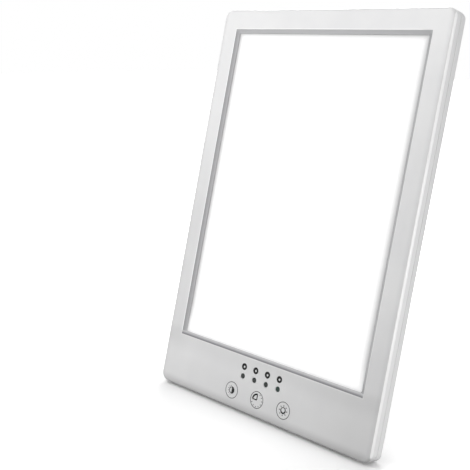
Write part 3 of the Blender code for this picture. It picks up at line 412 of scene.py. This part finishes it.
def plain_finishes():
    made = {}
    for slot, (colour, roughness, metallic, *unevenness) in PLAIN_FINISHES.items():
        made[slot] = coat(slot, colour, roughness, metallic).uneven(*unevenness)

    dark_steel = coat("dark_steel", (0.024, 0.025, 0.020), 0.4, specular_ior_level=0.12)
    made["dark_steel"] = dark_steel.uneven(4 * MM, 0.2, 0.4 * MM, 0.02 * MM)
    made["smoked_lens"] = lens_coat("smoked_lens", (0.019, 0.025, 0.023))
    rolled = coat("sheet_aluminium", (0.75, 0.76, 0.78), 0.35, 1.0)
    rolling_lines = rolled.upright(rolled.place(), 0.05)
    made["sheet_aluminium"] = rolled.uneven(20 * MM, 0.04, 1 * MM, 0.02 * MM, rolling_lines)
    return {slot: finish.owner for slot, finish in made.items()}


def lens_coat(name, colour):
    return coat(name, colour, 0.3, specular_ior_level=0.25).uneven(2 * MM, 0.3, 0.6 * MM, 0.01 * MM)


# Finishes of the stand and its hinge

def nickel_finish():
    """Bright nickel wire: drawn lines and olive clouds, with a painted highlight down its outer
    side, painted dark reflections at its back and painted shade that makes it darker low down.
    """
    finish = coat("nickel_plate", (0.66, 0.65, 0.58), 0.14, 1.0)
    place = finish.place()
    x, _, z = finish.parts(place)
    facing_x, facing_y, _ = finish.facing()
    lines = finish.noise(finish.upright(place, 0.04), 0.7 * MM)
    cloud = finish.noise(place, 30 * MM)
    # Painted shade: the wire is darker low down
    high = z.step(0, 170 * MM)
    # Painted highlight: a light band down the wire's outer side
    outer_side = (x * facing_x).step(-2 * MM, 2 * MM)
    bright = outer_side * facing_y.band(-1.1, -0.1, 0.72, 0.92)
    # Painted dark reflections: dark stripes where the wire faces the back
    dark = facing_y.step(0.80, 0.95)
    tone = finish.mix(high, (0.12, 0.12, 0.09), (0.36, 0.37, 0.31))
    tone = finish.mix(0.5 * cloud.step(0.35, 0.65), tone, (0.26, 0.28, 0.21))
    tone = finish.mix(bright, tone, finish.mix(high, (0.24, 0.25, 0.20), (0.80, 0.82, 0.75)))
    tone = finish.mix(0.8 * dark, tone, (0.07, 0.08, 0.05))
    finish.set("Base Color", tone)
    finish.set("Roughness", 0.10 + 0.12 * lines)
    finish.bump(lines, 0.01 * MM)
    return finish.owner


def hinge_finish():
    """Satin metal hinge hood: grey ramp, with painted light making its end faces paler, a painted
    shadow in its dark groove and a painted highlight on its bright lip.
    """
    finish = coat("hinge_metal", (0.26, 0.26, 0.22), 0.30, 1.0)
    place = finish.place()
    z = finish.parts(finish.panel_place())[2]
    facing_x = finish.facing()[0]
    cloud = finish.noise(place, 4 * MM, 3.0)
    ramp = finish.mix(cloud.step(*NOISE_RANGE), (0.17, 0.17, 0.145), (0.22, 0.22, 0.195))
    # Painted light: the end faces are paler
    ramp = finish.mix(abs(facing_x).step(0.5, 0.9), ramp, (0.32, 0.32, 0.29))
    # Painted shadow: the groove is dark
    groove = z.fall(HINGE_GROOVE_TOP - 0.1 * MM, HINGE_GROOVE_TOP + 0.5 * MM)
    # Painted highlight: the lip is bright
    lip = z.fall(HINGE_LIP_TOP - 0.2 * MM, HINGE_LIP_TOP + 0.1 * MM)
    tone = finish.mix(groove, ramp, (0.07, 0.07, 0.055))
    finish.set("Base Color", finish.mix(lip, tone, (0.55, 0.55, 0.49)))
    finish.set("Roughness", 0.26 + 0.12 * (cloud - 0.5))
    finish.bump(finish.noise(place, 0.5 * MM), 0.01 * MM)
    return finish.owner


def pin_finish():
    """Hinge pin: a dark ring round a paler middle."""
    finish = coat("pin_steel", (0.25, 0.25, 0.19), 0.30, 1.0)
    place = finish.panel_place()
    _, y, z = finish.parts(place)
    from_axis = finish.node("ShaderNodeCombineXYZ", None, 0.0, y - PIVOT_DEPTH, z - PIVOT_HEIGHT)
    ring = finish.length(from_axis).step(0.35 * PIN_RADIUS, 0.65 * PIN_RADIUS)
    grain = finish.noise(place, 1 * MM, 3.0)
    finish.set("Base Color", finish.mix(ring, (0.36, 0.36, 0.29), (0.13, 0.13, 0.09)))
    finish.set("Roughness", 0.28 + 0.15 * grain)
    finish.bump(grain, 0.01 * MM)
    return finish.owner


def dress_nodes():
    """Put a finish on every node: by the record's slot, or by name where one needs its own."""
    by_slot = plain_finishes()
    by_slot["casing_white"] = casing_finish()
    by_slot["casing_grey"] = rear_finish()
    by_slot["opal_acrylic"] = diffuser_finish()
    by_slot["nickel_plate"] = nickel_finish()
    by_node = {
        "hinge_hood": hinge_finish(),
        "hinge_pin": pin_finish(),
        "indicator_lens_4": lens_coat("green_lens", (0.013, 0.036, 0.028)).owner,
    }
    for entry in frame["record"]["subparts"]:
        material = by_node.get(entry["node"], by_slot[entry["material_slot"]])
        for slot in nodes[entry["node"]].material_slots:
            slot.material = material


# Printed symbols on the chin

INK_PROUD = 0.03 * MM
INK_SUNK = 0.02 * MM
RING_STEPS = 48
ARC_STEPS = 12


class Print:
    """Flat ink shapes on the front face, each a thin closed plate."""

    def __init__(self, across, up):
        self.mesh = bmesh.new()
        self.across = across
        self.up = up

    def corner(self, point, depth):
        x, z = point
        return self.mesh.verts.new(PANEL @ Vector((self.across + x, depth, self.up + z)))

    def plate(self, outline):
        front = [self.corner(point, -INK_PROUD) for point in outline]
        back = [self.corner(point, INK_SUNK) for point in outline]
        self.mesh.faces.new(front)
        self.mesh.faces.new(back[::-1])
        for k in range(len(outline)):
            j = (k + 1) % len(outline)
            self.mesh.faces.new((front[k], back[k], back[j], front[j]))

    def ring(self, outer, inner, shift=(0, 0)):
        """A ring whose hole may sit off its middle."""
        outer_edge = round_points(0, 0, outer)
        inner_edge = round_points(shift[0], shift[1], inner)
        rows = [[self.corner(point, -INK_PROUD) for point in outer_edge],
                [self.corner(point, -INK_PROUD) for point in inner_edge],
                [self.corner(point, INK_SUNK) for point in inner_edge],
                [self.corner(point, INK_SUNK) for point in outer_edge]]
        for low, high in zip(rows, rows[1:] + rows[:1]):
            for k in range(RING_STEPS):
                j = (k + 1) % RING_STEPS
                self.mesh.faces.new((low[k], low[j], high[j], high[k]))

    def arc(self, outer, inner, start, end):
        """A part of a ring, between two clock angles in degrees."""
        self.plate(arc_points(outer, start, end) + arc_points(inner, start, end)[::-1])

    def ray(self, turn, start, end, width):
        """A short straight line that points away from the middle, at a clock angle in degrees."""
        turn = math.radians(turn)
        run = Vector((math.sin(turn), math.cos(turn)))
        side = Vector((run.y, -run.x)) * width / 2
        self.plate([run * start + side, run * end + side, run * end - side, run * start - side])

    def done(self, name, material):
        bmesh.ops.recalc_face_normals(self.mesh, faces=self.mesh.faces)
        mesh = bpy.data.meshes.new(name)
        self.mesh.to_mesh(mesh)
        self.mesh.free()
        mesh.materials.append(material)
        item = bpy.data.objects.new(name, mesh)
        bpy.context.scene.collection.objects.link(item)
        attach(item, "panel")


def round_points(x, z, radius):
    turns = [2 * math.pi * k / RING_STEPS for k in range(RING_STEPS)]
    return [(x + radius * math.cos(turn), z + radius * math.sin(turn)) for turn in turns]


def arc_points(radius, start, end):
    """Points on an arc, by clock angles in degrees."""
    turns = [math.radians(start + (end - start) * k / ARC_STEPS) for k in range(ARC_STEPS + 1)]
    return [(radius * math.sin(turn), radius * math.cos(turn)) for turn in turns]


def ink_finish(name, level):
    finish = coat(name, grey(level), 0.5, specular_ior_level=0.15)
    finish.uneven(1.5 * MM, 0.10, 0.3 * MM, 0.01 * MM)
    return finish.owner


def print_marks(ink):
    """A ring above each indicator lens."""
    for number in range(MARK_COUNT):
        across = MARK_PITCH * (number - (MARK_COUNT - 1) / 2)
        mark = Print(across, MARK_HEIGHT)
        mark.ring(2.9 * MM, 0.9 * MM, (0.15 * MM, -0.1 * MM))
        mark.done(f"printed_mark_{number + 1}", ink)


def print_dimmer(ink):
    """A half-filled ring with rays on its open half."""
    dimmer = Print(-KEY_PITCH, KEY_HEIGHT)
    dimmer.plate(arc_points(3.2 * MM, 0, 180))
    dimmer.arc(2.9 * MM, 2.2 * MM, 180, 360)
    for turn in range(195, 361, 30):
        dimmer.ray(turn, 3.5 * MM, 4.3 * MM, 0.6 * MM)
    dimmer.done("printed_dimmer", ink)


def print_clock(ink):
    """A clock face: its last quarter outlined as a wedge, short ticks at the hours from 1 to 8."""
    dial = Print(0, KEY_HEIGHT)
    dial.arc(5.4 * MM, 3.9 * MM, 268, 362)
    dial.ray(0, 0, 4.6 * MM, 1.0 * MM)
    dial.ray(270, 0, 4.6 * MM, 1.0 * MM)
    for hour in range(1, 9):
        dial.ray(30 * hour, 5.2 * MM, 6.2 * MM, 0.6 * MM)
    dial.done("printed_clock", ink)


def print_sun(ink):
    sun = Print(KEY_PITCH, KEY_HEIGHT)
    sun.ring(2.85 * MM, 1.85 * MM, (-0.1 * MM, 0.35 * MM))
    for turn in range(0, 360, 45):
        sun.ray(turn, 3.4 * MM, 4.5 * MM, 0.7 * MM)
    sun.done("printed_sun", ink)


def print_rims(ink):
    """A thin ring round each touch key."""
    for name, side in (("left", -1), ("middle", 0), ("right", 1)):
        rim = Print(side * KEY_PITCH, KEY_HEIGHT)
        rim.ring(7.3 * MM, 6.7 * MM)
        rim.done(f"printed_rim_{name}", ink)


def print_symbols():
    dark = ink_finish("ink_dark", 0.014)
    print_marks(dark)
    print_dimmer(dark)
    print_clock(dark)
    print_sun(dark)
    print_rims(ink_finish("ink_grey", 0.10))


# Studio

FLOOR_REACH = 6.0


def softbox(name, place, target, size, level):
    """A rectangular soft light whose face is so many times as bright as white paper."""
    data = bpy.data.lights.new(name, "AREA")
    data.shape = "RECTANGLE"
    data.size, data.size_y = size
    data.energy = level * math.pi * size[0] * size[1]
    light = bpy.data.objects.new(name, data)
    bpy.context.scene.collection.objects.link(light)
    place = Vector(place)
    turn = (Vector(target) - place).to_track_quat("-Z", "Y").to_matrix().to_4x4()
    light.matrix_world = Matrix.Translation(place) @ turn


def seen_directly(finish):
    """1 for the camera's own rays and for those of mirrors and glass, 0 for rays that only light."""
    rays = finish.node("ShaderNodeLightPath").out("Is Camera Ray")
    return rays.larger(rays.out("Is Glossy Ray")).larger(rays.out("Is Transmission Ray"))


def make_floor():
    """White floor: it shows the lamp's shadow near its foot and fades to plain white round it, with
    painted light that thins the shadow on the floor at the back of the panel.
    """
    r = FLOOR_REACH
    mesh = bpy.data.meshes.new("studio_floor")
    mesh.from_pydata([(-r, -r, 0), (r, -r, 0), (r, r, 0), (-r, r, 0)], [], [(0, 1, 2, 3)])
    floor = bpy.data.objects.new("studio_floor", mesh)
    bpy.context.scene.collection.objects.link(floor)

    finish = coat("floor_white", grey(0.96), 0.9, specular_ior_level=0.0, emission_strength=1.0)
    seen = seen_directly(finish)
    place = finish.place()
    away = finish.length(place).step(0.17, 0.50)
    # Painted light: seen directly, the floor is lifted toward white at the back of the panel, which
    # thins the shadow there
    painted_light_rear = finish.parts(place)[1].step(-60 * MM, -10 * MM)
    finish.set("Base Color", finish.mix(seen, grey(0.6), grey(0.98)))
    own_white = seen * (0.03 + 0.32 * painted_light_rear + away)
    finish.set("Emission Color", finish.mix(own_white, grey(0), grey(1)))
    mesh.materials.append(finish.owner)


def make_world():
    """A white backdrop, and a soft sky that is brightest overhead for the light it gives."""
    world = bpy.data.worlds.new("studio")
    bpy.context.scene.world = world
    backdrop = Finish(world, "Background")
    height = backdrop.parts(backdrop.node("ShaderNodeTexCoord").out("Generated"))[2]
    sky = 0.77 * height.larger(0.0)
    backdrop.set("Color", grey(1))
    backdrop.set("Strength", sky.larger(seen_directly(backdrop)))


def make_studio():
    make_world()
    make_floor()
    softbox("front_light", (-0.12, -0.40, 0.64), (0, 0, 0.26), (0.3, 0.3), 3.7)
    softbox("left_light", (-0.9, -0.9, 0.7), (0, 0, 0.17), (0.6, 0.6), 3.1)
    softbox("low_light", (-0.6, -0.6, 0.15), (0, 0, 0.05), (0.3, 0.3), 1.7)
    softbox("right_light", (1.25, -0.25, 0.16), (0.12, 0, 0.06), (0.4, 0.3), 6.0)
    softbox("low_right_light", (0.60, -0.03, 0.14), (0.12, -0.01, 0.02), (0.2, 0.16), 4.2)
    softbox("high_right_light", (0.42, 0, 0.40), (0.12, 0.02, 0.31), (0.12, 0.12), 2.7)
    softbox("rear_light", (-0.6, 0.8, 0.85), (0, 0.1, 0.1), (0.5, 0.5), 8.3)


make_camera()
dress_nodes()
print_symbols()
make_studio()

bpy.context.scene.view_settings.view_transform = "Standard"
bpy.context.view_layer.update()
